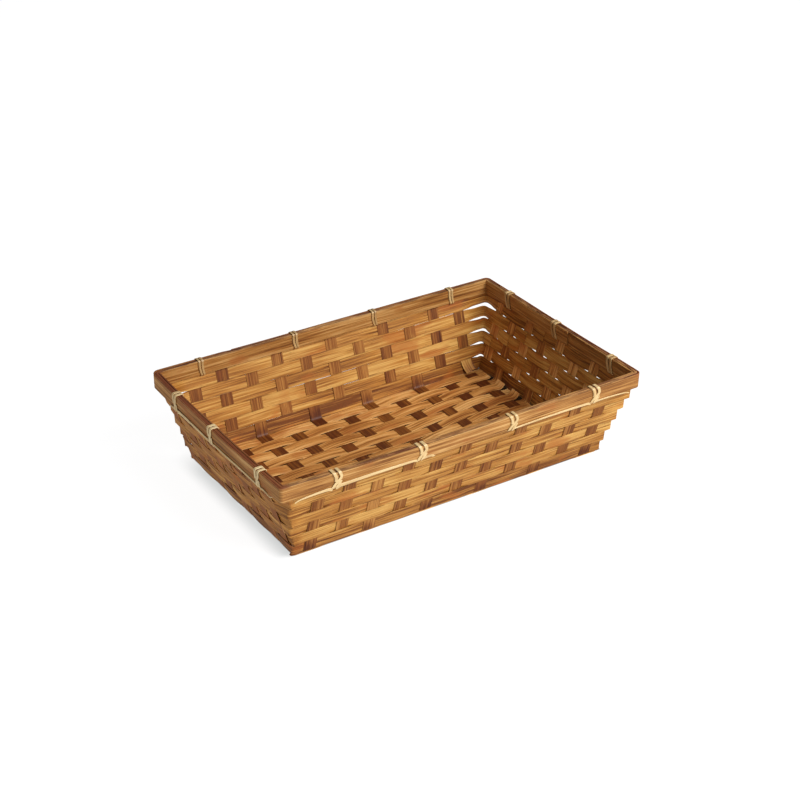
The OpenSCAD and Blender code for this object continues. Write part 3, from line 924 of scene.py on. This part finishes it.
# millimetres along the wall from the regular place of the tie
OFF_PLACE = {"tie_front_1": -1.0, "tie_front_2": -5.0, "tie_front_3": 1.2, "tie_front_4": 2.0,
             "tie_right_1": -7.0, "tie_right_2": 1.5, "tie_right_3": 2.5, "tie_back_1": -5.0,
             "tie_back_2": -3.8, "tie_back_3": -4.0, "tie_back_4": 6.5, "tie_left_1": 5.0,
             "tie_left_3": 8.0}
# Tone of the ties on each wall, as painted light and shade: darker on the back and right walls, which are
# seen from inside and in shade, lighter on the left and front.
TIE_LIGHT_AND_SHADE = {"front": 0.1, "right": -0.3, "back": -0.4, "left": 0.4}


def tie_strip(wall, place_s, out, seed):
    """Two turns round the bands. The loop is a rounded rectangle (out, z); along the wall the
    strand bows by a half sine on its way down a face and ends pulled over at the foot."""
    bow, foot, bow_in, foot_in = (v * MM for v in PULL[wall])
    half_t = (band_high[0] - inner_high[0] + BAND) / 2 + GRIP + CANE_T / 2
    half_h = band_h / 2 + GRIP + CANE_T / 2
    mid_z = rim_top - band_h / 2
    turn = hoop(half_t, half_h, np.full(4, 1.3 * MM), 0.9 * MM)
    turn = np.roll(turn, -len(turn) // 4, 0)
    far, z = np.vstack([turn, turn, turn[:1]]).T
    gone = np.linspace(0, 2, len(far))
    down = (half_h - z) / (2 * half_h)
    outer_share = ease((far + half_t) / (2 * half_t))
    pull_out = bow * np.sin(np.pi * down) + foot * down ** 1.6
    pull_in = bow_in * np.sin(np.pi * down) + foot_in * down ** 1.6
    gap = mix(*GAPS[wall], down ** 2) * MM
    side = mix(-gap, gap, ease((gone - 0.93) / 0.14))
    s = place_s + side + mix(pull_in, pull_out, outer_share)
    w = WALL_NAMES.index(wall)
    plan = s[:, None] * ALONG[w] + (out + far)[:, None] * OUT[w]
    line = np.column_stack([plan, z + mid_z])
    full = min(CANE_W, 1.9 * GAPS[wall][1] * MM)
    width = full * mix(1.0, 0.88, down ** 2) * (1 + 0.03 * unevenness(gone * 9, 0, seed))
    return splint(line, np.append(ALONG[w], 0)[None], width, CANE_T, seed, columns=5,
                  round_r=0.3 * MM, groove=0.04 * MM, crown=0.1 * MM, tone=TIE_LIGHT_AND_SHADE[wall], tone_wave=0.3)


ties = {}
for node in sorted(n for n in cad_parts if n.startswith("tie_")):
    wall = node.split("_")[1]
    w = WALL_NAMES.index(wall)
    s = float(middle(node)[:2] @ ALONG[w]) + OFF_PLACE.get(node, 0) * MM
    out = (rim_y, rim_x)[w % 2]
    ties.setdefault(wall, []).append(s)
    place(node + "_cane", [tie_strip(wall, s, out, 400 + 10 * w + len(ties[wall]))],
          finish_cane, "binding_cane", node)
print("ties:", {wall: len(s) for wall, s in ties.items()})


# %% Running cane
def run_strip(wall, start, end, rise, thin, seed, arch=0.5 * MM, tuck=False):
    """Cane along the outer band from start to end: a slightly arched line whose ends dip under the
    band. Rise is its height over the band's lower edge in millimetres and thin its share of the
    full width, both at the two ends. A tucked piece slips under the band and goes on inside it."""
    w = WALL_NAMES.index(wall)
    s = np.linspace(start, end, int((end - start) / (1.2 * MM)) + 2)
    t = (s - start) / (end - start)
    dip = np.clip(1 - np.minimum(s - start, end - s) / (5 * MM), 0, 1) ** 2
    under = ease((s - start - 9 * MM) / (9 * MM)) * tuck
    z = band_low[2] + mix(*rise, t) * MM + arch * np.sin(np.pi * t) - 1.3 * MM * dip
    z = z + (1.2 * under - 9 * under * (1 - under)) * MM
    out = (band_high[1], band_high[0])[w % 2] + GRIP + CANE_T / 2 - (0.35 * dip + 2.4 * under) * MM
    plan = s[:, None] * ALONG[w] + np.broadcast_to(out, len(s))[:, None] * OUT[w]
    width = CANE_W * mix(*thin, t) * (1 + 0.04 * unevenness(t * 8, 0, seed))
    return splint(np.column_stack([plan, z]), np.array([[0, 0, 1.0]]), width, CANE_T, seed,
                  columns=5, round_r=0.3 * MM, groove=0.04 * MM, crown=0.1 * MM, tone=0.15)


# %% [markdown]
# A wall's cane has one piece before the first tie, one between each two ties and one after the
# last. The first and the last are thin tails that stop short of the corners.


# %% Running cane of each wall
RISE = [(-1.2, 0.5), (0.9, 1.2), (1.2, 0.7), (0.5, 0.9), (0.9, -0.9)]
THIN = [(0.35, 1.0), (1.15, 0.75), (0.8, 0.7), (0.55, 0.85), (0.7, 0.35)]
for w, wall in enumerate(WALL_NAMES):
    foot = PULL[wall][1] * MM
    half = (band_high[0], band_high[1])[w % 2] - CORNERS.max()
    stops = [-half] + sorted(ties[wall]) + [half]
    strips = []
    for n, (a, b) in enumerate(zip(stops[:-1], stops[1:])):
        last = n == len(stops) - 2
        a = a + foot + 1.5 * MM if n else a + 6 * MM
        b = b - 6 * MM if last else b + foot - 1.5 * MM
        if wall == "left" and n == 0:
            a = b - 14 * MM
        tuck = last if wall == "left" else wall != "right" and n == 2
        look = -1 if last else n
        strips.append(run_strip(wall, a, b, RISE[look], THIN[look], 500 + 10 * w + n, tuck=tuck))
    place("cane_run_" + wall + "_cane", strips, finish_cane, "binding_cane", "cane_run_" + wall)
print("running cane on", len(WALL_NAMES), "walls")


# %% [markdown]
# ## Floor, light and camera
# A pale floor without an edge, a large soft light from the front right, and an even white
# surround. The floor glows a little, so that it looks white and lights the walls from below:
# a brighter lamp would do that too, but it would bleach the bamboo. Under the base and a few
# millimetres past its right and back edges the glow stops and the floor is painted dark brown,
# a painted shadow where a real floor is dark. Beside the left wall the glow is weaker, a painted
# contact shadow.


# %% Floor
def floor_finish():
    """White glow outside the base's outline. Inside it, and a few millimetres past its right and back
    edges, the floor is a painted shadow: dark brown with no glow. Beside the left wall the glow is
    weaker, a painted contact shadow. The distances past the four edges of the base are positive
    outside."""
    f = Finish("pale_floor")
    spot = f.add("TexCoord", take=3)
    grain = f.add("TexNoise", {}, {"Vector": spot, "Scale": 60.0, "Detail": 3.0})
    x, y = (f.add("SeparateXYZ", {}, {0: spot}, n) for n in (0, 1))
    edge_x, edge_y = float(wall_x(0)), float(wall_y(0))
    past_right, past_back = x - edge_x, y - edge_y
    past_left, past_front = -1 * x - edge_x, -1 * y - edge_y
    # lit is 0 under the base and a little past its right and back edges: painted shadow
    lit = past_right.span(3 * MM, 7 * MM)
    for other in (past_back.span(3 * MM, 7 * MM), past_left.span(-2 * MM, 0.5 * MM),
                  past_front.span(-1.5 * MM, 0.5 * MM)):
        lit = lit.math("MAXIMUM", lit, other)
    # shade dims the glow beside the left wall: painted contact shadow
    shade = past_left.span(20 * MM, -2 * MM) * past_back.span(20 * MM, -30 * MM)
    shade = shade * past_left.span(-8 * MM, -4 * MM) * past_front.span(4 * MM, -8 * MM)
    white = f.mix(shade, (1.0, 1.0, 1.0), (0.62, 0.64, 0.64))
    glow = f.mix(lit, (0.0, 0.0, 0.0), white)
    # painted shadow: dark brown where lit is 0
    colour = f.mix(lit, (0.03, 0.018, 0.01), f.mix(grain, (0.14, 0.14, 0.14), (0.16, 0.16, 0.16)))
    return f.close({"Base Color": colour, "Roughness": 0.8, "Emission Color": glow,
                    "Emission Strength": 0.95, "Specular IOR Level": 0.0})


FAR = 6.0
mesh = bpy.data.meshes.new("floor")
mesh.from_pydata([(-FAR, -FAR, 0), (FAR, -FAR, 0), (FAR, FAR, 0), (-FAR, FAR, 0)], [], [(0, 1, 2, 3)])
floor = bpy.data.objects.new("floor", mesh)
mesh.materials.append(floor_finish())
floor.visible_glossy = False
bpy.context.scene.collection.objects.link(floor)
print("floor:", 2 * FAR, "m square")

# %% Light
SURROUND = 0.22
world = bpy.data.worlds.new("surround")
world.use_nodes = True
world.node_tree.nodes["Background"].inputs["Color"].default_value = (1, 1, 1, 1)
world.node_tree.nodes["Background"].inputs["Strength"].default_value = SURROUND
bpy.context.scene.world = world


def soft_light(name, azimuth, elevation, distance, side, watts):
    """Square light at that distance from the basket, turned towards it. Azimuth 0 is the front,
    and grows to the right."""
    a, e = np.radians([azimuth, elevation])
    spot = Vector((np.sin(a) * np.cos(e), -np.cos(a) * np.cos(e), np.sin(e))) * distance
    data = bpy.data.lights.new(name, "AREA")
    data.size, data.energy = side, watts
    lamp = bpy.data.objects.new(name, data)
    lamp.location = spot
    lamp.rotation_euler = spot.to_track_quat("Z", "Y").to_euler()
    bpy.context.scene.collection.objects.link(lamp)


soft_light("key", azimuth=26, elevation=40, distance=1.8, side=1.1, watts=38)
print("light: surround", SURROUND, "and a key from the front right")

# %% Camera
AZIMUTH, ELEVATION, DISTANCE = np.radians(-32.52), np.radians(29.34), 1.5878
SHIFT_RIGHT, SHIFT_UP = 0.0044, 0.04812
back = np.array([np.sin(AZIMUTH) * np.cos(ELEVATION), -np.cos(AZIMUTH) * np.cos(ELEVATION),
                 np.sin(ELEVATION)])
right = np.array([np.cos(AZIMUTH), np.sin(AZIMUTH), 0])
up = np.cross(back, right)
camera = bpy.data.objects.new("camera", bpy.data.cameras.new("camera"))
camera.data.sensor_width, camera.data.lens = 36, 81.7
camera.location = Vector(back * DISTANCE + right * SHIFT_RIGHT + up * SHIFT_UP)
camera.rotation_euler = Vector(back).to_track_quat("Z", "Y").to_euler()
bpy.context.scene.collection.objects.link(camera)
bpy.context.scene.camera = camera
print("view transform was", bpy.context.scene.view_settings.view_transform)
bpy.context.scene.view_settings.view_transform = "Standard"
